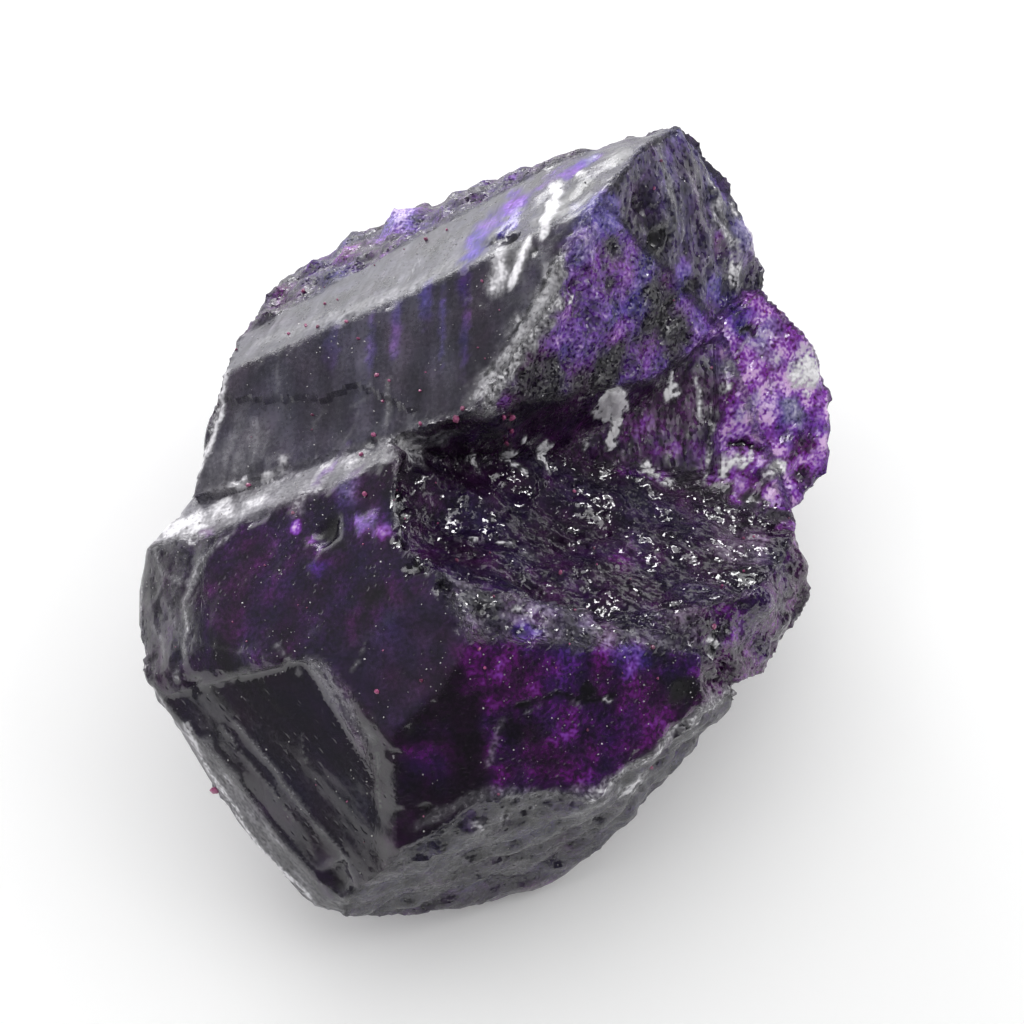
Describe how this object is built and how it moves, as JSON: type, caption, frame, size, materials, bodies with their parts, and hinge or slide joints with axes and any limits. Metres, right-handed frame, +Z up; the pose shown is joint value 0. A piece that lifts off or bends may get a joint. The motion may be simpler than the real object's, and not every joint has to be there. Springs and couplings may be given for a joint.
{
  "type": "rough sapphire crystal",
  "caption": "Rough corundum crystal, dark violet and partly clear, with flat growth faces, a broken valley and a thin pale lobe.",
  "frame": {"origin": "middle of the resting face's plane, under the centre of the bounding box", "axes": "+Z up from the resting face; +Y from the lower crystal to the upper one, the longest way; +X to the lobe"},
  "size_m": [0.05, 0.0532, 0.0316],
  "materials": {
    "corundum": "natural crystal faces, glossy, with frosted breaks"
  },
  "bodies": {
    "root": {"rough_sapphire": "corundum"}
  },
  "joints": []
}
